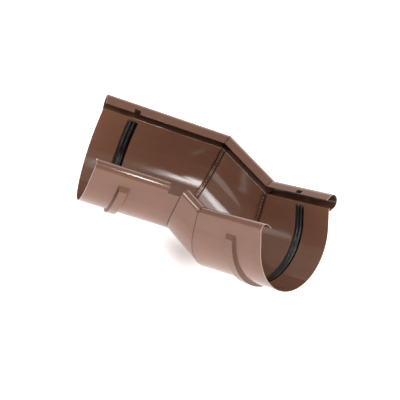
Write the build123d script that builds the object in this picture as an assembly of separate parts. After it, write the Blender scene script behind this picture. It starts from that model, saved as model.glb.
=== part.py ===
from build123d import *

import os
from math import cos, hypot, radians, sin, tan

# Half-round eaves gutter corner: three lengths of coated steel sheet, locked together at two mitred seams.
# The left and middle sections lie level and turn the corner; the right section climbs from the middle one.
# X runs along the left section to the corner, Y points to the beaded front, Z is up, and the origin is the
# middle of the left open end, on the axis of the half round. Sizes are in millimetres and degrees.

# Sheet and trough
SHEET = 0.6
TROUGH_RADIUS = 62.5
FRONT_WALL = 23.0
BACK_WALL = 22.8

# Lengths along the trough axis, and the two bends
LEFT_LENGTH = 136.7
MIDDLE_LENGTH = 67.8
RIGHT_LENGTH = 104.5
CORNER_TURN = 49.0
CLIMB = 32.0

# Rolled bead along the front edge: the wall is folded down on itself, turned out as a flange and rolled over
BEAD_FOLD_RADIUS = 0.8
BEAD_DROP = 1.9
BEAD_NECK_RADIUS = 0.8
BEAD_FLANGE_ANGLE = 19.0
BEAD_FLANGE = 7.6
BEAD_RADIUS = 9.1
BEAD_SWEEP = 186.0
BEAD_TAIL = 8.5

# Hooked lip along the back edge
LIP_RADIUS = 6.9
LIP_TURN = 131.0
LIP_TAIL = 7.4

# Lock seams: the middle section's edge is folded back on itself, and its neighbour's hem is hooked over it
LOCK_WIDTH = 4.2
LOCK_GAP = 0.1
LOCK_STOP_BELOW_LIP = 2.6

# Grooves pressed outwards near both open ends, for the seals
LEFT_SEAL_FROM_END = 42.0
RIGHT_SEAL_FROM_END = 44.5
GROOVE_DEPTH = 4.0
GROOVE_FLAT = 10.2
GROOVE_SLOPE = 2.4
GROOVE_STOP_BELOW_FOLD = 2.8
GROOVE_STOP_BELOW_LIP = 12.6
GROOVE_END_ANGLE = 55.0

# Rubber seals, with two ribs on the water side
SEAL_CLEARANCE = 0.15
SEAL_WIDTH = 8.4
SEAL_THICKNESS = 3.2
SEAL_RIB = 1.2
SEAL_RIB_FOOT = 2.4
SEAL_RIB_TOP = 1.0
SEAL_RIB_SPACING = 4.6

# Notches: in the bead edge over each seal, and in the left lip beside the corner
BEAD_NOTCH_WIDTH = 8.0
BEAD_NOTCH_DEPTH = 6.0
LIP_NOTCH_LENGTH = 16.0
LIP_NOTCH_DROP = 1.9

# Blanks run this far past a mitre before they are cut to it
OVERRUN = 70.0
CUTTER = 400.0


def trough_path(offset, back_top, front_top):
    """Path of the walls and the half round, moved outwards by an offset, up to the given heights."""
    radius = TROUGH_RADIUS + offset
    back = Line((-radius, back_top), (-radius, 0))
    round_bottom = ThreePointArc((-radius, 0), (0, -radius), (radius, 0))
    front = Line((radius, 0), (radius, front_top))
    return [back, round_bottom, front]


def lip_path(offset):
    """Path of the hooked lip from the top of the back wall to its tail."""
    arch = JernArc((-TROUGH_RADIUS - offset, BACK_WALL), (0, 1), LIP_RADIUS + offset, -LIP_TURN)
    tail = Line(arch @ 1, arch @ 1 + LIP_TAIL * (arch % 1))
    return [tail, arch]


def bead_path(offset):
    """Path of the folded top of the front wall, the flange turned out from it, the rolled bead and its flat edge."""
    fold = JernArc((TROUGH_RADIUS + offset, FRONT_WALL), (0, 1), BEAD_FOLD_RADIUS - offset, -180)
    drop = Line(fold @ 1, fold @ 1 - Vector(0, BEAD_DROP))
    neck = JernArc(drop @ 1, (0, -1), BEAD_NECK_RADIUS + offset, 90 + BEAD_FLANGE_ANGLE)
    flange = Line(neck @ 1, neck @ 1 + BEAD_FLANGE * (neck % 1))
    bead = JernArc(flange @ 1, flange % 1, BEAD_RADIUS - SHEET + offset, BEAD_SWEEP)
    tail = Line(bead @ 1, bead @ 1 + BEAD_TAIL * (bead % 1))
    return [fold, drop, neck, flange, bead, tail]


def band(inner, outer):
    """Face between two paths that run side by side."""
    start = Line(inner[0] @ 0, outer[0] @ 0)
    end = Line(inner[-1] @ 1, outer[-1] @ 1)
    return make_face([*inner, *outer, start, end])


def sheet_face():
    """Section of the whole sheet, from the tail of the lip to the edge of the bead."""
    paths = []
    for offset in (0, SHEET):
        lip = lip_path(offset)
        lip[0] = Line(lip[0] @ 1, lip[0] @ 0)
        paths.append([*lip, *trough_path(offset, BACK_WALL, FRONT_WALL), *bead_path(offset)])
    return band(*paths)


def lock_faces(low, high):
    """Sections of a layer of a lock seam between two heights above the sheet: in the trough, and on the flange."""
    back_top = BACK_WALL - LOCK_STOP_BELOW_LIP
    trough = band(trough_path(-high, back_top, FRONT_WALL), trough_path(-low, back_top, FRONT_WALL))
    flange = bead_path(0)[3]
    above = (flange % 0).rotate(Axis.Z, 90)
    lines = [Line(flange @ 0 + height * above, flange @ 1 + height * above) for height in (high, low)]
    return [trough, band(lines[:1], lines[1:])]


def run(frame, face, start, end):
    """Extrudes a section along a trough, between two places on its axis."""
    return frame.location * extrude(Pos(0, 0, start) * face, amount=end - start)


def slab(seam, start, end):
    """Thick plate beside a mitre, between two distances from it."""
    return seam.location * Pos(0, 0, (start + end) / 2) * Box(CUTTER, CUTTER, end - start)


def beyond(seam, start, side):
    """Everything past a mitre, on the side its normal points to (1) or the other (-1)."""
    return slab(seam, *sorted((side * start, side * (start + CUTTER))))


# Places of the sections and the seams
level_axis = Vector(cos(radians(CORNER_TURN)), -sin(radians(CORNER_TURN)), 0)
level_front = Vector(sin(radians(CORNER_TURN)), cos(radians(CORNER_TURN)), 0)
climb_axis = level_axis * cos(radians(CLIMB)) + Vector(0, 0, sin(radians(CLIMB)))
corner_point = Vector(LEFT_LENGTH, 0, 0)
climb_point = corner_point + level_axis * MIDDLE_LENGTH
left_frame = Plane((0, 0, 0), x_dir=(0, 1, 0), z_dir=(1, 0, 0))
middle_frame = Plane(corner_point, x_dir=level_front, z_dir=level_axis)
right_frame = Plane(climb_point, x_dir=level_front, z_dir=climb_axis)
corner_seam = Plane(corner_point, z_dir=Vector(1, 0, 0) + level_axis)
climb_seam = Plane(climb_point, z_dir=level_axis + climb_axis)
LEFT_RUN = (0, LEFT_LENGTH + OVERRUN)
MIDDLE_RUN = (-OVERRUN, MIDDLE_LENGTH + OVERRUN)
RIGHT_RUN = (-OVERRUN, RIGHT_LENGTH)

# Layers of a lock seam: heights above the sheet, and distances from the mitre towards the middle section
half_gap = LOCK_GAP / 2
web_end = half_gap + SHEET
rooted = -SHEET / 2
hook = (LOCK_GAP, LOCK_GAP + SHEET)
fold_back = (hook[1] + LOCK_GAP, hook[1] + LOCK_GAP + SHEET)
cover = (fold_back[1] + LOCK_GAP, fold_back[1] + LOCK_GAP + SHEET)
cover_edge = LOCK_WIDTH - SHEET


def layer(frame, span, heights, seam, start, end):
    """One layer of a lock seam: runs of its sections, kept between two distances from the mitre."""
    keep = slab(seam, *sorted((start, end)))
    trough, flange = [run(frame, face, *span) & keep for face in lock_faces(*heights)]
    return trough + flange


def middle_fold(seam, side):
    """Edge of the middle section, turned up along a mitre and folded back over its own wall."""
    web = layer(middle_frame, MIDDLE_RUN, (rooted, fold_back[1]), seam, side * half_gap, side * web_end)
    back = layer(middle_frame, MIDDLE_RUN, fold_back, seam, side * half_gap, side * (cover_edge - LOCK_GAP))
    return web + back


def neighbour_hem(frame, span, seam, side):
    """Hem of an outer section: it steps up at the mitre, covers the middle section's fold and hooks under it."""
    web = layer(frame, span, (rooted, cover[1]), seam, -side * web_end, -side * half_gap)
    own_cover = layer(frame, span, cover, seam, -side * web_end, 0)
    far_cover = layer(middle_frame, MIDDLE_RUN, cover, seam, 0, side * LOCK_WIDTH)
    edge = layer(middle_frame, MIDDLE_RUN, (hook[0], cover[1]), seam, side * cover_edge, side * LOCK_WIDTH)
    under = layer(middle_frame, MIDDLE_RUN, hook, seam, side * (web_end + LOCK_GAP), side * LOCK_WIDTH)
    return web + own_cover + far_cover + edge + under


# Pressed groove: slope of its sides, and the thickness of the sheet measured across them
side_run = GROOVE_SLOPE / GROOVE_DEPTH
side_sheet = SHEET * hypot(1, side_run)
floor_radius = TROUGH_RADIUS + GROOVE_DEPTH
flat_radius = floor_radius + SHEET


def groove_half_width(radius, inner):
    """Half the width of the groove at a radius, inside or outside the sheet."""
    outside = GROOVE_FLAT / 2 + side_run * (flat_radius - radius)
    return outside - side_sheet if inner else outside


def strip(outline, wall_radius, end_shift):
    """Strip of a given section bent round the trough, with its two ends sloped back to the wall."""
    back_end = BACK_WALL - GROOVE_STOP_BELOW_LIP - end_shift
    front_end = FRONT_WALL - GROOVE_STOP_BELOW_FOLD - end_shift
    face = make_face(Polyline(*[(radius, along) for radius, along in outline], close=True))
    front_face = Plane.XZ * face
    back_face = Plane.XZ * mirror(face, about=Plane.YZ)
    body = revolve(front_face, Axis((0, 0, 0), (0, 0, -1)), 180)
    for arm_face, end, side in ((front_face, front_end, 1), (back_face, back_end, -1)):
        arm = extrude(arm_face, amount=end + GROOVE_DEPTH, dir=(0, 1, 0))
        slope = (side * sin(radians(GROOVE_END_ANGLE)), cos(radians(GROOVE_END_ANGLE)), 0)
        body += split(arm, bisect_by=Plane((side * wall_radius, end, 0), z_dir=slope), keep=Keep.BOTTOM)
    return body


def groove_outside():
    """Metal pushed out by the groove, filled."""
    base = TROUGH_RADIUS + SHEET / 2
    low = groove_half_width(TROUGH_RADIUS + SHEET, inner=False)
    high = GROOVE_FLAT / 2
    outline = [(base, -low), (TROUGH_RADIUS + SHEET, -low), (flat_radius, -high)]
    return strip(outline + [(radius, -along) for radius, along in reversed(outline)], TROUGH_RADIUS + SHEET, 0)


def groove_inside():
    """Hollow of the groove, on the water side of the sheet."""
    mouth = TROUGH_RADIUS - SHEET
    low = groove_half_width(mouth, inner=True)
    high = groove_half_width(floor_radius, inner=True)
    outline = [(mouth, -low), (floor_radius, -high)]
    return strip(outline + [(radius, -along) for radius, along in reversed(outline)], TROUGH_RADIUS, SHEET)


def seal():
    """Rubber seal on the floor of a groove, with two ribs along it."""
    bottom = floor_radius - SEAL_CLEARANCE
    top = bottom - SEAL_THICKNESS
    half = SEAL_WIDTH / 2
    rib_top = top - SEAL_RIB
    rib_middle = SEAL_RIB_SPACING / 2
    outline = [
        (bottom, half),
        (top, half),
        (top, rib_middle + SEAL_RIB_FOOT / 2),
        (rib_top, rib_middle + SEAL_RIB_TOP / 2),
        (rib_top, rib_middle - SEAL_RIB_TOP / 2),
        (top, rib_middle - SEAL_RIB_FOOT / 2),
    ]
    mirrored = [(radius, -along) for radius, along in reversed(outline)]
    return strip(outline + mirrored, TROUGH_RADIUS, SHEET + SEAL_CLEARANCE)


def bead_notch():
    """Cutter for the notch in the edge of the bead, centred on the seal."""
    tail = bead_path(0)[-1]
    edge = tail @ 1
    inward = tail % 1
    reach = 2 * BEAD_NOTCH_DEPTH
    box = Box(reach, reach, BEAD_NOTCH_WIDTH)
    middle = edge + inward * (reach / 2 - BEAD_NOTCH_DEPTH)
    return Plane(middle, x_dir=inward, z_dir=(0, 0, 1)).location * box


def lip_cutter(start, end, low):
    """Cutter for the back lip, between two places on the axis and above a height."""
    box = Box(CUTTER / 2, CUTTER, end - start, align=(Align.MAX, Align.MIN, Align.MIN))
    return Pos(0, low, start) * box


def socket_end(blank, frame, seal_at):
    """Presses the groove and cuts the bead notch at the open end of a section."""
    place = frame.location * Pos(0, 0, seal_at)
    return blank + place * groove_outside() - place * groove_inside() - place * bead_notch()


left_seal_at = LEFT_SEAL_FROM_END
right_seal_at = RIGHT_LENGTH - RIGHT_SEAL_FROM_END
sheet = sheet_face()

# The back walls meet short of the corner, by this length on each axis
back_setback = (TROUGH_RADIUS + SHEET) * tan(radians(CORNER_TURN / 2))
notch_end = LEFT_LENGTH - back_setback
left_lip_notch = lip_cutter(notch_end - LIP_NOTCH_LENGTH, LEFT_LENGTH, BACK_WALL - LIP_NOTCH_DROP)
middle_lip_trim = lip_cutter(0, back_setback, BACK_WALL)

left_section = run(left_frame, sheet, *LEFT_RUN) - beyond(corner_seam, -half_gap, 1)
left_section = socket_end(left_section, left_frame, left_seal_at) - left_frame.location * left_lip_notch
left_section += neighbour_hem(left_frame, LEFT_RUN, corner_seam, 1)

middle_section = run(middle_frame, sheet, *MIDDLE_RUN)
middle_section = middle_section - beyond(corner_seam, -half_gap, -1) - beyond(climb_seam, -half_gap, 1)
middle_section -= middle_frame.location * middle_lip_trim
middle_section += middle_fold(corner_seam, 1)
middle_section += middle_fold(climb_seam, -1)

right_section = run(right_frame, sheet, *RIGHT_RUN) - beyond(climb_seam, -half_gap, -1)
right_section = socket_end(right_section, right_frame, right_seal_at)
right_section += neighbour_hem(right_frame, RIGHT_RUN, climb_seam, -1)

pieces = {
    "left_section": left_section,
    "middle_section": middle_section,
    "right_section": right_section,
    "left_seal": left_frame.location * Pos(0, 0, left_seal_at) * seal(),
    "right_seal": right_frame.location * Pos(0, 0, right_seal_at) * seal(),
}

os.makedirs("parts", exist_ok=True)
for name, piece in pieces.items():
    export_step(piece, f"parts/{name}.step")
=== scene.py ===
"""Half-round gutter outside miter of brown coated steel, dressed on its CAD model in a white studio."""

import logging
import math
from dataclasses import dataclass, field
from enum import Enum
from typing import Iterable, Sequence

import bpy
from mathutils import Euler, Matrix, Vector


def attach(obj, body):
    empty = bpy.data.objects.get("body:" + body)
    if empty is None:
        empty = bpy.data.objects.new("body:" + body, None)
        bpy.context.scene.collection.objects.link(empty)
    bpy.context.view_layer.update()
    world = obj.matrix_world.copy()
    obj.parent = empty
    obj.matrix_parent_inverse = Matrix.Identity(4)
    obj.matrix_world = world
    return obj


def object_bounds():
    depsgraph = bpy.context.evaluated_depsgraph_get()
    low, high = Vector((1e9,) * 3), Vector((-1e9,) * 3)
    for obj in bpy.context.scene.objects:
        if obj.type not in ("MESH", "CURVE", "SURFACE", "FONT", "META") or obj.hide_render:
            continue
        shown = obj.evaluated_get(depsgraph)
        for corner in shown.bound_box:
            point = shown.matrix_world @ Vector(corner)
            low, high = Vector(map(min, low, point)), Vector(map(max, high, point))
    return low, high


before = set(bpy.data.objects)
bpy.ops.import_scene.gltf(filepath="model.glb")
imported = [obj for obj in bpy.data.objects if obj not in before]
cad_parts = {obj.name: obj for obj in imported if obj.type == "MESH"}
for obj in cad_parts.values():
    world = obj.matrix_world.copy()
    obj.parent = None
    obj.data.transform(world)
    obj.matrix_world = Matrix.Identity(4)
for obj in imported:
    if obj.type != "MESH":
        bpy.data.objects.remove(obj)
CAD_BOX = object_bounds()
LOG = logging.getLogger("gutter_miter")

Colour = tuple[float, float, float]
Place = tuple[float, float, float]
Range = tuple[float, float]
Socket = bpy.types.NodeSocket
Tree = bpy.types.NodeTree

# Socket types of node groups
FLOAT = "NodeSocketFloat"
VECTOR = "NodeSocketVector"

# The body that new pieces ride on
BODY = "root"

# Sizes shared with the CAD model, in metres and degrees
SHEET = 0.0006
TROUGH_RADIUS = 0.0625
FRONT_WALL = 0.023
BACK_WALL = 0.0228
LEFT_LENGTH = 0.1367
MIDDLE_LENGTH = 0.0678
RIGHT_LENGTH = 0.1045
CORNER_TURN = math.radians(49.0)
CLIMB = math.radians(32.0)
LOCK_WIDTH = 0.0042
LOCK_GAP = 0.0001
LOCK_STOP_BELOW_LIP = 0.0026
LOCK_HEIGHT = 3 * (SHEET + LOCK_GAP)
BEAD_ACROSS = 0.0696
BEAD_HEIGHT = 0.0309
BEAD_RADIUS = 0.0091


class Section(Enum):
    """The three lengths of gutter, by their CAD node."""

    LEFT = "left_section"
    MIDDLE = "middle_section"
    RIGHT = "right_section"


class Seam(Enum):
    """The two lock seams, by the piece of crimp marks on each."""

    CORNER = "corner_crimps"
    CLIMB = "climb_crimps"


@dataclass(frozen=True)
class Course:
    """Place and directions of one length of gutter: its start, and its along, front and up directions."""

    start: Vector
    along: Vector
    front: Vector
    up: Vector

    def point(self, along: float, across: float, height: float) -> Vector:
        """Returns a point from its distance along the trough, across it and above its axis."""
        return self.start + self.along * along + self.front * across + self.up * height


def courses() -> dict[Section, Course]:
    """Works out where the three lengths of gutter run.

    Returns:
        The course of each section.
    """
    up = Vector((0.0, 0.0, 1.0))
    corner = Vector((LEFT_LENGTH, 0.0, 0.0))
    level = Vector((math.cos(CORNER_TURN), -math.sin(CORNER_TURN), 0.0))
    front = Vector((math.sin(CORNER_TURN), math.cos(CORNER_TURN), 0.0))
    climbing = level * math.cos(CLIMB) + up * math.sin(CLIMB)
    leaning = up * math.cos(CLIMB) - level * math.sin(CLIMB)
    return {
        Section.LEFT: Course(Vector((0.0, 0.0, 0.0)), Vector((1.0, 0.0, 0.0)), Vector((0.0, 1.0, 0.0)), up),
        Section.MIDDLE: Course(corner, level, front, up),
        Section.RIGHT: Course(corner + level * MIDDLE_LENGTH, climbing, front, leaning),
    }


COURSES = courses()


class Graph:
    """Adds nodes to a shader tree and links them."""

    def __init__(self, tree: Tree) -> None:
        """Keeps the tree that the nodes go into."""
        self.tree = tree

    def add(self, kind: str, **settings: object) -> bpy.types.Node:
        """Adds a node.

        Args:
            kind: Blender's name for the node type.
            **settings: properties of the node, or values of its inputs by socket name,
                with spaces as underscores.

        Returns:
            The new node.
        """
        node = self.tree.nodes.new(kind)
        for name, value in settings.items():
            if hasattr(node, name):
                setattr(node, name, value)
            else:
                node.inputs[name.replace("_", " ")].default_value = value
        return node

    def link(self, output: Socket, socket: Socket) -> None:
        """Links an output to an input."""
        self.tree.links.new(output, socket)

    def math(self, operation: str, first: object, second: object = 0.0, clamp: bool = False) -> Socket:
        """Adds a math node.

        Args:
            operation: the name of the operation.
            first: a socket or a number.
            second: a socket or a number.
            clamp: keeps the result between 0 and 1.

        Returns:
            The output of the node.
        """
        node = self.tree.nodes.new("ShaderNodeMath")
        node.operation = operation
        node.use_clamp = clamp
        for socket, value in zip(node.inputs, (first, second)):
            if isinstance(value, Socket):
                self.link(value, socket)
            else:
                socket.default_value = value
        return node.outputs[0]

    def ramp(self, value: Socket, low: float, high: float, start: float, end: float) -> Socket:
        """Maps a value smoothly from one range to another, and returns the mapped output."""
        node = self.add("ShaderNodeMapRange", interpolation_type="SMOOTHSTEP")
        for name, number in (("From Min", low), ("From Max", high), ("To Min", start), ("To Max", end)):
            node.inputs[name].default_value = number
        self.link(value, node.inputs["Value"])
        return node.outputs["Result"]

    def mix(self, factor: Socket, first: object, second: object) -> Socket:
        """Mixes two colours.

        Args:
            factor: the socket that drives the mix.
            first: a socket or a colour.
            second: a socket or a colour.

        Returns:
            The mixed colour.
        """
        node = self.add("ShaderNodeMix", data_type="RGBA")
        self.link(factor, node.inputs["Factor"])
        for socket, value in ((node.inputs[6], first), (node.inputs[7], second)):
            if isinstance(value, Socket):
                self.link(value, socket)
            else:
                socket.default_value = (*value, 1.0)
        return node.outputs[2]

    def constant(self, value: float) -> Socket:
        """Adds a value node and returns its output."""
        node = self.tree.nodes.new("ShaderNodeValue")
        node.outputs[0].default_value = value
        return node.outputs[0]

    def rays(self, *kinds: str) -> Socket:
        """Returns a value that is 1 for the named kinds of ray, such as Camera, and 0 for others."""
        path = self.add("ShaderNodeLightPath")
        total = self.constant(0.0)
        for kind in kinds:
            total = self.math("ADD", total, path.outputs[f"Is {kind} Ray"], clamp=True)
        return total

    def blend(self, factor: Socket, first: Socket, second: object) -> Socket:
        """Blends two values.

        Args:
            factor: the socket that drives the blend.
            first: the socket that is kept at 0.
            second: the socket or number that is reached at 1.

        Returns:
            The blended value.
        """
        node = self.add("ShaderNodeMix")
        self.link(factor, node.inputs["Factor"])
        self.link(first, node.inputs["A"])
        if isinstance(second, Socket):
            self.link(second, node.inputs["B"])
        else:
            node.inputs["B"].default_value = second
        return node.outputs["Result"]


def new_group(
    name: str, inputs: dict[str, tuple[str, object]], outputs: dict[str, str]
) -> tuple[Tree, Graph]:
    """Starts a shader node group.

    Args:
        name: name of the group.
        inputs: socket type and default value of each input.
        outputs: socket type of each output.

    Returns:
        The group, and a graph to fill it with.
    """
    group = bpy.data.node_groups.new(name, "ShaderNodeTree")
    for label, (kind, value) in inputs.items():
        socket = group.interface.new_socket(label, in_out="INPUT", socket_type=kind)
        socket.default_value = value
    for label, kind in outputs.items():
        group.interface.new_socket(label, in_out="OUTPUT", socket_type=kind)
    return group, Graph(group)


class Effects:
    """Shader node groups that more than one finish uses, each built once."""

    edge_turn: Range = (0.97, 0.75)
    tube_fade: Range = (0.98, 1.02)
    crease_lean: Range = (0.4, 0.7)
    bevel_samples: int = 16

    def __init__(self) -> None:
        """Builds the groups."""
        self.peel = self._peel()
        self.edges = self._edges()
        self.joint = self._joint()
        self.tube = self._tube()
        self.crease = self._crease()

    @staticmethod
    def _peel() -> Tree:
        """Builds the fine unevenness of a sprayed or moulded skin: a height, and a slow drift of gloss."""
        group, graph = new_group(
            "skin_peel",
            {"Vector": (VECTOR, (0.0, 0.0, 0.0)), "Fine": (FLOAT, 700.0), "Slow": (FLOAT, 30.0)},
            {"Height": FLOAT, "Drift": FLOAT},
        )
        given = graph.add("NodeGroupInput")
        made = graph.add("NodeGroupOutput")
        fine = graph.add("ShaderNodeTexNoise", Detail=2.0, Roughness=0.5)
        slow = graph.add("ShaderNodeTexNoise", Detail=3.0, Roughness=0.55)
        for noise, scale in ((fine, "Fine"), (slow, "Slow")):
            graph.link(given.outputs["Vector"], noise.inputs["Vector"])
            graph.link(given.outputs[scale], noise.inputs["Scale"])
        graph.link(fine.outputs["Fac"], made.inputs["Height"])
        graph.link(slow.outputs["Fac"], made.inputs["Drift"])
        return group

    def _edges(self) -> Tree:
        """Builds the rounding of cut and folded edges: a softened normal, and a mask of the edge."""
        group, graph = new_group(
            "edge_rounding", {"Radius": (FLOAT, 0.0004)}, {"Normal": VECTOR, "Mask": FLOAT}
        )
        given = graph.add("NodeGroupInput")
        made = graph.add("NodeGroupOutput")
        bevel = graph.add("ShaderNodeBevel", samples=self.bevel_samples)
        graph.link(given.outputs["Radius"], bevel.inputs["Radius"])
        flat = graph.add("ShaderNodeNewGeometry")
        turn = graph.add("ShaderNodeVectorMath", operation="DOT_PRODUCT")
        graph.link(bevel.outputs["Normal"], turn.inputs[0])
        graph.link(flat.outputs["Normal"], turn.inputs[1])
        graph.link(bevel.outputs["Normal"], made.inputs["Normal"])
        graph.link(graph.ramp(turn.outputs["Value"], *self.edge_turn, 0.0, 1.0), made.inputs["Mask"])
        return group

    @staticmethod
    def _joint() -> Tree:
        """Builds a mask that is 1 along a plane and fades out on both sides of it."""
        group, graph = new_group(
            "joint_line",
            {
                "Vector": (VECTOR, (0.0, 0.0, 0.0)),
                "Point": (VECTOR, (0.0, 0.0, 0.0)),
                "Normal": (VECTOR, (1.0, 0.0, 0.0)),
                "Width": (FLOAT, 0.0006),
                "Core": (FLOAT, 0.2),
            },
            {"Mask": FLOAT},
        )
        given = graph.add("NodeGroupInput")
        made = graph.add("NodeGroupOutput")
        away = graph.add("ShaderNodeVectorMath", operation="SUBTRACT")
        graph.link(given.outputs["Vector"], away.inputs[0])
        graph.link(given.outputs["Point"], away.inputs[1])
        along = graph.add("ShaderNodeVectorMath", operation="DOT_PRODUCT")
        graph.link(away.outputs["Vector"], along.inputs[0])
        graph.link(given.outputs["Normal"], along.inputs[1])
        distance = graph.math("ABSOLUTE", along.outputs["Value"])
        share = graph.math("DIVIDE", distance, given.outputs["Width"])
        fade = graph.add("ShaderNodeMapRange", interpolation_type="SMOOTHSTEP")
        graph.link(share, fade.inputs["Value"])
        graph.link(given.outputs["Core"], fade.inputs["From Min"])
        fade.inputs["To Min"].default_value = 1.0
        fade.inputs["To Max"].default_value = 0.0
        graph.link(fade.outputs["Result"], made.inputs["Mask"])
        return group

    def _tube(self) -> Tree:
        """Builds a mask that is 1 within a radius of a straight line, which places the painted shade inside
        the bead's tube.
        """
        group, graph = new_group(
            "tube_painted_shade",
            {
                "Vector": (VECTOR, (0.0, 0.0, 0.0)),
                "Point": (VECTOR, (0.0, 0.0, 0.0)),
                "Axis": (VECTOR, (1.0, 0.0, 0.0)),
                "Radius": (FLOAT, 0.008),
            },
            {"Mask": FLOAT},
        )
        given = graph.add("NodeGroupInput")
        made = graph.add("NodeGroupOutput")
        away = graph.add("ShaderNodeVectorMath", operation="SUBTRACT")
        graph.link(given.outputs["Vector"], away.inputs[0])
        graph.link(given.outputs["Point"], away.inputs[1])
        arm = graph.add("ShaderNodeVectorMath", operation="CROSS_PRODUCT")
        graph.link(away.outputs["Vector"], arm.inputs[0])
        graph.link(given.outputs["Axis"], arm.inputs[1])
        distance = graph.add("ShaderNodeVectorMath", operation="LENGTH")
        graph.link(arm.outputs["Vector"], distance.inputs[0])
        share = graph.math("DIVIDE", distance.outputs["Value"], given.outputs["Radius"])
        graph.link(graph.ramp(share, *self.tube_fade, 1.0, 0.0), made.inputs["Mask"])
        return group

    def _crease(self) -> Tree:
        """Builds a mask of sheet that is pressed to face along an axis, as on one side of a groove, for
        painted shade.
        """
        group, graph = new_group("crease_painted_shade", {"Axis": (VECTOR, (1.0, 0.0, 0.0))}, {"Mask": FLOAT})
        given = graph.add("NodeGroupInput")
        made = graph.add("NodeGroupOutput")
        lean = graph.add("ShaderNodeVectorMath", operation="DOT_PRODUCT")
        graph.link(graph.add("ShaderNodeNewGeometry").outputs["Normal"], lean.inputs[0])
        graph.link(given.outputs["Axis"], lean.inputs[1])
        graph.link(graph.ramp(lean.outputs["Value"], *self.crease_lean, 0.0, 1.0), made.inputs["Mask"])
        return group


def new_material(name: str) -> tuple[bpy.types.Material, Graph, bpy.types.Node]:
    """Starts a node material.

    Args:
        name: name of the material.

    Returns:
        The material, its graph and its Principled shader.
    """
    material = bpy.data.materials.new(name)
    material.use_nodes = True
    return material, Graph(material.node_tree), material.node_tree.nodes["Principled BSDF"]


def place_group(graph: Graph, group: Tree, **values: object) -> bpy.types.Node:
    """Places a node group in a material.

    Args:
        graph: the material's graph.
        group: the node group.
        **values: values of its inputs.

    Returns:
        The group node.
    """
    node = graph.tree.nodes.new("ShaderNodeGroup")
    node.node_tree = group
    for name, value in values.items():
        node.inputs[name].default_value = value
    return node


@dataclass(frozen=True)
class Band:
    """A strip of another colour and gloss along a plane across a section."""

    point: Vector
    normal: Vector
    width: float
    core: float
    colour: Colour
    roughness: float
    metal: float = 0.0


@dataclass(frozen=True)
class CreaseShade:
    """Painted shade on the slope of a pressed groove that faces the open end: a darker, partly metallic
    colour.
    """

    colour: Colour
    metal: float


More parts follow.
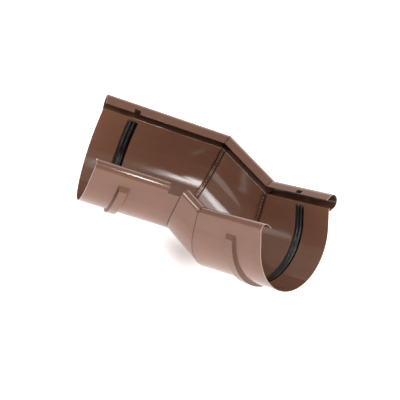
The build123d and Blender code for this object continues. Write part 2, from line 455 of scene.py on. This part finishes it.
@dataclass(frozen=True)
class CoatedSteel:
    """Semi-gloss brown coating on rolled sheet, with faint rolling streaks along the gutter."""

    colour: Colour = (0.208, 0.094, 0.058)
    shade: Colour = (0.19, 0.085, 0.052)
    # painted highlight: light colour at the cut ends and on the crimp marks' edges
    edge_highlight: Colour = (0.6, 0.4, 0.32)
    # dark joint colour, partly painted shade: it also stands in for the shade in the gaps of the mitres and
    # the hem's folds
    joint: Colour = (0.085, 0.04, 0.027)
    # painted shade: the lock's cover is drawn darker than the coating
    hem_shade: Colour = (0.15, 0.068, 0.042)
    # painted shade: the dark colour inside the bead's rolled tube
    bead_bore_shade: Colour = (0.11, 0.05, 0.031)
    # painted shade on the groove slopes, darker on the left section
    left_crease_shade: CreaseShade = CreaseShade((0.1, 0.046, 0.03), 0.9)
    right_crease_shade: CreaseShade = CreaseShade((0.15, 0.07, 0.046), 0.3)
    roughness: Range = (0.095, 0.125)
    streak_stretch: float = 0.06
    streak_scale: float = 160.0
    shine: float = 0.55
    streak_detail: float = 3.0
    tone_range: Range = (0.75, 1.3)
    peel_height: float = 0.00002
    peel_strength: float = 0.5
    edge_radius: float = 0.0003
    joint_width: float = 0.0009
    rim_width: float = 0.0005
    line_core: float = 0.2
    fold_share: float = 0.7
    folds: Range = (0.5, 1.0)
    hem_share: float = 0.55
    hem_core: float = 0.85
    dull: float = 0.4

    def bands(self, section: Section) -> list[Band]:
        """Lists the strips of a section: its mitre lines, its hem over a lock seam and its cut end, with
        painted shade on the hem and the dark lines, and a painted highlight on the cut end.

        Args:
            section: the section.

        Returns:
            The strips, in the order they are laid over each other.
        """
        course = COURSES[section]
        ends = {Section.LEFT: 0.0, Section.RIGHT: RIGHT_LENGTH}
        sides = {Section.LEFT: 1.0, Section.RIGHT: -1.0}
        found = []
        if section in ends:
            # Painted highlight along the cut end of the sheet.
            end = course.point(ends[section], 0.0, 0.0)
            found.append(
                Band(end, course.along, self.rim_width, self.line_core, self.edge_highlight, self.roughness[0])
            )
            point, normal = mitres(section)[0]
            # Painted shade: a darker strip over the cover of the lock seam.
            hem_shade = point + normal * sides[section] * LOCK_WIDTH / 2
            hem_width = LOCK_WIDTH * self.hem_share
            found.append(Band(hem_shade, normal, hem_width, self.hem_core, self.hem_shade, self.roughness[1]))
            # Dark lines along both folds of the hem, partly painted shade in the folds.
            fold_width = self.joint_width * self.fold_share
            for share in self.folds:
                fold = point + normal * sides[section] * share * LOCK_WIDTH
                found.append(Band(fold, normal, fold_width, self.line_core, self.joint, self.dull, 1.0))
        # Dark mitre lines, partly painted shade in the gap between sections.
        for point, normal in mitres(section):
            found.append(
                Band(point, normal, self.joint_width, self.line_core, self.joint, self.dull, 1.0)
            )
        return found

    def material(self, section: Section, effects: Effects) -> bpy.types.Material:
        """Builds the coating of one section.

        Args:
            section: the section, whose direction the streaks follow.
            effects: the shared node groups.

        Returns:
            The material.
        """
        material, graph, skin = new_material(f"coating_{section.value}")
        course = COURSES[section]
        object_place = graph.add("ShaderNodeTexCoord").outputs["Object"]
        turned = graph.add("ShaderNodeMapping", vector_type="TEXTURE")
        turned.inputs["Rotation"].default_value = course.along.to_track_quat("X", "Z").to_euler()
        graph.link(object_place, turned.inputs["Vector"])
        stretched = graph.add("ShaderNodeMapping")
        stretched.inputs["Scale"].default_value = (self.streak_stretch, 1.0, 1.0)
        graph.link(turned.outputs["Vector"], stretched.inputs["Vector"])
        streaks = graph.add("ShaderNodeTexNoise", Scale=self.streak_scale, Roughness=0.6)
        streaks.inputs["Detail"].default_value = self.streak_detail
        graph.link(stretched.outputs["Vector"], streaks.inputs["Vector"])
        peel = place_group(graph, effects.peel)
        graph.link(object_place, peel.inputs["Vector"])
        edges = place_group(graph, effects.edges, Radius=self.edge_radius)

        uneven = graph.math("ADD", streaks.outputs["Fac"], peel.outputs["Drift"])
        tone = graph.ramp(uneven, *self.tone_range, 0.0, 1.0)
        colour = graph.mix(tone, self.shade, self.colour)
        # Painted shade: the inside of the bead's rolled tube is drawn dark brown.
        bead = course.point(0.0, BEAD_ACROSS, BEAD_HEIGHT)
        bore = BEAD_RADIUS - SHEET / 2
        tube = place_group(graph, effects.tube, Point=bead, Axis=course.along, Radius=bore)
        graph.link(object_place, tube.inputs["Vector"])
        colour = graph.mix(tube.outputs["Mask"], colour, self.bead_bore_shade)
        # Painted shade: the groove slope facing the open end is drawn darker, dull and partly metallic.
        on_left = section is Section.LEFT
        crease = place_group(graph, effects.crease, Axis=-course.along if on_left else course.along)
        slope = crease.outputs["Mask"]
        pressed = self.left_crease_shade if on_left else self.right_crease_shade
        colour = graph.mix(slope, colour, pressed.colour)
        roughness = graph.ramp(tone, 0.0, 1.0, self.roughness[1], self.roughness[0])
        roughness = graph.blend(slope, roughness, self.dull)
        metal = graph.math("MULTIPLY", slope, pressed.metal)
        for band in self.bands(section):
            strip = place_group(graph, effects.joint, Point=band.point, Normal=band.normal)
            strip.inputs["Width"].default_value = band.width
            strip.inputs["Core"].default_value = band.core
            graph.link(object_place, strip.inputs["Vector"])
            colour = graph.mix(strip.outputs["Mask"], colour, band.colour)
            roughness = graph.blend(strip.outputs["Mask"], roughness, band.roughness)
            metal = graph.blend(strip.outputs["Mask"], metal, band.metal)
        graph.link(colour, skin.inputs["Base Color"])
        graph.link(roughness, skin.inputs["Roughness"])
        graph.link(metal, skin.inputs["Metallic"])
        bump = graph.add("ShaderNodeBump", Distance=self.peel_height, Strength=self.peel_strength)
        graph.link(peel.outputs["Height"], bump.inputs["Height"])
        graph.link(edges.outputs["Normal"], bump.inputs["Normal"])
        graph.link(bump.outputs["Normal"], skin.inputs["Normal"])
        skin.inputs["Specular IOR Level"].default_value = self.shine
        return material


def mitres(section: Section) -> list[tuple[Vector, Vector]]:
    """Finds the mitre planes at the ends of a section.

    Args:
        section: the section.

    Returns:
        A point and a normal for each plane.
    """
    left, middle, right = (COURSES[s] for s in Section)
    corner = (middle.start, (left.along + middle.along).normalized())
    climb = (right.start, (middle.along + right.along).normalized())
    return {Section.LEFT: [corner], Section.MIDDLE: [corner, climb], Section.RIGHT: [climb]}[section]


@dataclass(frozen=True)
class CrimpedCoat:
    """The coating on the crimp marks, drawn far lighter as a painted highlight, lighter still on its edges.
    """

    # painted highlight: the marks are coloured much lighter than the coating
    colour: Colour = (0.42, 0.25, 0.19)
    shade: Colour = (0.3, 0.17, 0.12)
    edge_highlight: Colour = (0.62, 0.42, 0.34)
    roughness: Range = (0.22, 0.32)
    drift_scale: float = 240.0
    tone_range: Range = (0.35, 0.65)
    edge_radius: float = 0.0002

    def material(self, effects: Effects) -> bpy.types.Material:
        """Builds the coating of the crimp marks.

        Args:
            effects: the shared node groups.

        Returns:
            The material.
        """
        material, graph, skin = new_material("coating_crimped")
        peel = place_group(graph, effects.peel, Slow=self.drift_scale)
        graph.link(graph.add("ShaderNodeTexCoord").outputs["Object"], peel.inputs["Vector"])
        edges = place_group(graph, effects.edges, Radius=self.edge_radius)
        tone = graph.ramp(peel.outputs["Drift"], *self.tone_range, 0.0, 1.0)
        # Painted highlight: the marks' edges are mixed toward an even lighter colour.
        colour = graph.mix(edges.outputs["Mask"], graph.mix(tone, self.shade, self.colour), self.edge_highlight)
        graph.link(colour, skin.inputs["Base Color"])
        roughness = graph.ramp(tone, 0.0, 1.0, self.roughness[1], self.roughness[0])
        graph.link(roughness, skin.inputs["Roughness"])
        graph.link(edges.outputs["Normal"], skin.inputs["Normal"])
        return material


@dataclass(frozen=True)
class SealRubber:
    """Satin black rubber with a fine moulded grain."""

    colour: Colour = (0.004, 0.004, 0.004)
    bloom: Colour = (0.009, 0.009, 0.009)
    roughness: Range = (0.18, 0.24)
    grain: float = 1600.0
    grain_height: float = 0.00001
    grain_strength: float = 0.4
    drift_scale: float = 90.0
    tone_range: Range = (0.35, 0.65)
    edge_radius: float = 0.0007
    shine: float = 0.75

    def material(self, effects: Effects) -> bpy.types.Material:
        """Builds the rubber.

        Args:
            effects: the shared node groups.

        Returns:
            The material.
        """
        material, graph, skin = new_material("rubber_seal")
        object_place = graph.add("ShaderNodeTexCoord").outputs["Object"]
        peel = place_group(graph, effects.peel, Fine=self.grain, Slow=self.drift_scale)
        graph.link(object_place, peel.inputs["Vector"])
        edges = place_group(graph, effects.edges, Radius=self.edge_radius)
        tone = graph.ramp(peel.outputs["Drift"], *self.tone_range, 0.0, 1.0)
        graph.link(graph.mix(tone, self.colour, self.bloom), skin.inputs["Base Color"])
        graph.link(graph.ramp(tone, 0.0, 1.0, *self.roughness), skin.inputs["Roughness"])
        bump = graph.add("ShaderNodeBump", Distance=self.grain_height, Strength=self.grain_strength)
        graph.link(peel.outputs["Height"], bump.inputs["Height"])
        graph.link(edges.outputs["Normal"], bump.inputs["Normal"])
        graph.link(bump.outputs["Normal"], skin.inputs["Normal"])
        skin.inputs["Specular IOR Level"].default_value = self.shine
        return material


@dataclass(frozen=True)
class PaleFloor:
    """White studio floor with a soft painted shadow below the gutter."""

    colour: Colour = (0.8, 0.8, 0.8)
    grain: Colour = (0.77, 0.77, 0.77)
    glow: float = 0.98
    table_light: float = 1.32
    # painted shadow: its place, reach and depth below the middle section
    painted_shadow_place: Place = (0.147, -0.056, -0.07)
    painted_shadow_reach: float = 0.05
    shade: float = 0.6
    grain_scale: float = 60.0
    roughness: float = 0.9

    def material(self) -> bpy.types.Material:
        """Builds the floor, a lit table that is plain white where it is seen or mirrored, with a painted
        shadow below the gutter.

        Returns:
            The material.
        """
        material, graph, skin = new_material("floor_white")
        object_place = graph.add("ShaderNodeTexCoord").outputs["Object"]
        noise = graph.add("ShaderNodeTexNoise", Scale=self.grain_scale, Detail=2.0)
        graph.link(object_place, noise.inputs["Vector"])
        graph.link(graph.mix(noise.outputs["Fac"], self.colour, self.grain), skin.inputs["Base Color"])
        skin.inputs["Roughness"].default_value = self.roughness
        skin.inputs["Specular IOR Level"].default_value = 0.0
        skin.inputs["Emission Color"].default_value = (1.0, 1.0, 1.0, 1.0)
        # Painted shadow: the glow is lowered in a soft patch around a set place.
        away = graph.add("ShaderNodeVectorMath", operation="DISTANCE")
        graph.link(object_place, away.inputs[0])
        away.inputs[1].default_value = self.painted_shadow_place
        shade = graph.ramp(away.outputs["Value"], 0.0, self.painted_shadow_reach, self.shade, 0.0)
        seen = graph.rays("Camera", "Glossy", "Transmission")
        light = graph.ramp(seen, 0.0, 1.0, self.table_light, self.glow)
        graph.link(graph.math("SUBTRACT", light, shade), skin.inputs["Emission Strength"])
        return material


def dress(node: bpy.types.Object, material: bpy.types.Material) -> None:
    """Gives a CAD node or a new piece one material all over.

    Args:
        node: the object.
        material: the material.
    """
    node.data.materials.clear()
    node.data.materials.append(material)


@dataclass
class GutterRun:
    """The three lengths of coated gutter and their seals, which come from the CAD model."""

    steel: CoatedSteel = field(default_factory=CoatedSteel)
    rubber: SealRubber = field(default_factory=SealRubber)
    seals: tuple[str, str] = ("left_seal", "right_seal")

    def dress(self, effects: Effects) -> None:
        """Dresses the CAD nodes.

        Args:
            effects: the shared node groups.
        """
        for section in Section:
            dress(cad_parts[section.value], self.steel.material(section, effects))
            LOG.info("dressed %s", section.value)
        rubber = self.rubber.material(effects)
        for name in self.seals:
            dress(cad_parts[name], rubber)
            LOG.info("dressed %s", name)


@dataclass
class CrimpRows:
    """Two rows of small crimp marks pressed along the cover of a lock seam."""

    seam: Seam
    pitch: float = 0.0045
    rows: Range = (0.0014, 0.0029)
    length: float = 0.0034
    width: float = 0.0008
    height: float = 0.0009
    top: float = 0.55
    softening: float = 0.00008

    def tooth(self) -> bpy.types.Object:
        """Models one mark: a small block with a narrowed top and softened edges.

        Returns:
            The mark, at the origin, with its length along X and its top up.
        """
        bpy.ops.object.select_all(action="DESELECT")
        bpy.ops.mesh.primitive_cube_add(size=1.0)
        mark = bpy.context.object
        bpy.ops.object.mode_set(mode="EDIT")
        bpy.ops.mesh.select_all(action="SELECT")
        bpy.ops.transform.resize(value=(self.length, self.width, self.height))
        bpy.ops.mesh.select_all(action="DESELECT")
        bpy.ops.object.mode_set(mode="OBJECT")
        for face in mark.data.polygons:
            face.select = face.normal.z > 0.5
        bpy.ops.object.mode_set(mode="EDIT")
        bpy.ops.transform.resize(value=(self.top, self.top, 1.0))
        bpy.ops.mesh.select_all(action="SELECT")
        bpy.ops.mesh.bevel(offset=self.softening, segments=1)
        bpy.ops.object.mode_set(mode="OBJECT")
        return mark

    def stations(self) -> Iterable[tuple[float, float, Vector]]:
        """Walks along the section of the cover at the pitch.

        Yields:
            The place across the trough, the height, and the direction away from the sheet in the
            section's plane.
        """
        radius = TROUGH_RADIUS - LOCK_HEIGHT
        back = BACK_WALL - LOCK_STOP_BELOW_LIP
        lengths = (back, math.pi * radius, FRONT_WALL)
        count = int(sum(lengths) / self.pitch)
        for number in range(count):
            run = (number + 0.5) * self.pitch
            if run < lengths[0]:
                yield -radius, back - run, Vector((1.0, 0.0))
            elif run < lengths[0] + lengths[1]:
                angle = math.pi + (run - lengths[0]) / radius
                across, height = math.cos(angle), math.sin(angle)
                yield radius * across, radius * height, Vector((-across, -height))
            else:
                yield radius, run - lengths[0] - lengths[1], Vector((-1.0, 0.0))

    def along(self, across: float, height: float, distance: float) -> float:
        """Returns the place along the middle section at a distance from the mitre."""
        if self.seam is Seam.CORNER:
            return -across * math.tan(CORNER_TURN / 2) + distance / math.cos(CORNER_TURN / 2)
        return MIDDLE_LENGTH - height * math.tan(CLIMB / 2) - distance / math.cos(CLIMB / 2)

    def build(self, material: bpy.types.Material) -> bpy.types.Object:
        """Copies the mark along both rows and joins the copies.

        Args:
            material: the coating of the marks.

        Returns:
            The piece.
        """
        course = COURSES[Section.MIDDLE]
        normal = dict(zip(Seam, (m[1] for m in mitres(Section.MIDDLE))))[self.seam]
        mark = self.tooth()
        copies = []
        for distance in self.rows:
            for across, height, away in self.stations():
                place = course.point(self.along(across, height, distance), across, height)
                out = course.front * away.x + course.up * away.y
                run = out.cross(normal).normalized()
                side = out.cross(run)
                turn = Matrix((run, side, out)).transposed().to_4x4()
                copy = bpy.data.objects.new(f"{self.seam.value}_mark", mark.data.copy())
                copy.data.transform(Matrix.Translation(place) @ turn)
                bpy.context.collection.objects.link(copy)
                copies.append(copy)
        bpy.data.objects.remove(mark)
        bpy.ops.object.select_all(action="DESELECT")
        for copy in copies:
            copy.select_set(True)
        bpy.context.view_layer.objects.active = copies[0]
        bpy.ops.object.join()
        piece = bpy.context.object
        piece.name = self.seam.value
        dress(piece, material)
        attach(piece, BODY)
        LOG.info("built %s with %d marks", piece.name, len(copies))
        return piece


@dataclass(frozen=True)
class SoftLamp:
    """A rectangular studio lamp that faces the gutter."""

    name: str
    place: Place
    target: Place
    size: Range
    watts: float

    def build(self) -> bpy.types.Object:
        """Builds the lamp.

        Returns:
            The lamp's object.
        """
        data = bpy.data.lights.new(self.name, "AREA")
        data.shape = "RECTANGLE"
        data.size, data.size_y = self.size
        data.energy = self.watts
        lamp = bpy.data.objects.new(self.name, data)
        bpy.context.collection.objects.link(lamp)
        lamp.location = self.place
        facing = Vector(self.target) - Vector(self.place)
        lamp.rotation_euler = facing.to_track_quat("-Z", "Y").to_euler()
        return lamp


@dataclass
class Studio:
    """White studio: floor, world, lamps and the camera at the photograph's viewing angle."""

    floor_drop: float = 0.003
    floor_size: float = 8.0
    floor_front: float = -0.6
    front_light: float = 0.36
    back_light: float = 1.85
    top_light: float = 0.5
    top_rise: Range = (0.5, 0.8)
    back_reach: Range = (0.3, 0.7)
    left_reach: Range = (-0.5, -0.2)
    camera_place: Place = (-0.13502, -0.9097, 0.65929)
    camera_turn: Place = (51.0291, -22.5444, -0.2428)
    lens: float = 82.1
    sensor: float = 36.0
    clip: Range = (0.01, 50.0)
    centre: Place = (0.14, -0.02, 0.0)
    lip: Place = (0.272, -0.06, 0.03)
    floor: PaleFloor = field(default_factory=PaleFloor)

    def lamps(self) -> Sequence[SoftLamp]:
        """Lists the lamps: beside the camera, high above and to the left, two with a soft surround."""
        return (
            SoftLamp("lamp_front", (0.46, -1.005, 0.605), self.centre, (0.15, 0.26), 1.45),
            SoftLamp("lamp_front_soft", (0.464, -1.014, 0.61), self.centre, (0.22, 0.45), 1.1),
            SoftLamp("lamp_high", (0.272, -0.548, 1.109), self.lip, (0.08, 0.46), 3.3),
            SoftLamp("lamp_left", (-0.734, -0.19, 0.54), self.centre, (0.15, 0.24), 1.2),
            SoftLamp("lamp_left_soft", (-0.734, -0.1, 0.73), self.centre, (0.24, 0.42), 1.2),
        )

    def build(self) -> None:
        """Builds the whole studio."""
        self._floor()
        self._world()
        for lamp in self.lamps():
            lamp.build()
        self._camera()
        bpy.context.scene.view_settings.view_transform = "Standard"
        LOG.info("built the studio")

    def _floor(self) -> None:
        """Lays the floor just under the gutter."""
        bpy.ops.object.select_all(action="DESELECT")
        bpy.ops.mesh.primitive_plane_add(size=self.floor_size)
        plane = bpy.context.object
        plane.name = "floor"
        shift = (0.0, self.floor_front + self.floor_size / 2, CAD_BOX[0].z - self.floor_drop)
        plane.data.transform(Matrix.Translation(shift))
        dress(plane, self.floor.material())

    def _world(self) -> None:
        """Makes the world white where it is seen, and elsewhere a room with a lit wall at the back."""
        world = bpy.data.worlds.new("studio")
        bpy.context.scene.world = world
        world.use_nodes = True
        graph = Graph(world.node_tree)
        background = world.node_tree.nodes["Background"]
        background.inputs["Color"].default_value = (1.0, 1.0, 1.0, 1.0)
        direction = graph.add("ShaderNodeSeparateXYZ")
        graph.link(graph.add("ShaderNodeTexCoord").outputs["Generated"], direction.inputs["Vector"])
        low = graph.ramp(direction.outputs["Z"], *self.top_rise, 1.0, 0.0)
        behind = graph.ramp(direction.outputs["Y"], *self.back_reach, 0.0, 1.0)
        not_left = graph.ramp(direction.outputs["X"], *self.left_reach, 0.0, 1.0)
        lit = graph.math("MULTIPLY", behind, not_left)
        walls = graph.ramp(lit, 0.0, 1.0, self.front_light, self.back_light)
        room = graph.blend(low, graph.constant(self.top_light), walls)
        seen = graph.rays("Camera", "Transmission")
        graph.link(graph.blend(seen, room, 1.0), background.inputs["Strength"])

    def _camera(self) -> None:
        """Sets up the camera."""
        data = bpy.data.cameras.new("camera")
        data.lens = self.lens
        data.sensor_width = self.sensor
        data.clip_start, data.clip_end = self.clip
        camera = bpy.data.objects.new("camera", data)
        bpy.context.collection.objects.link(camera)
        camera.location = self.camera_place
        camera.rotation_euler = Euler([math.radians(a) for a in self.camera_turn], "XYZ")
        bpy.context.scene.camera = camera


def main() -> None:
    """Builds the dressed gutter and the studio around it."""
    logging.basicConfig(level=logging.INFO, format="%(message)s")
    effects = Effects()
    GutterRun().dress(effects)
    crimped = CrimpedCoat().material(effects)
    for seam in Seam:
        CrimpRows(seam).build(crimped)
    Studio().build()


if __name__ == "__main__":
    main()
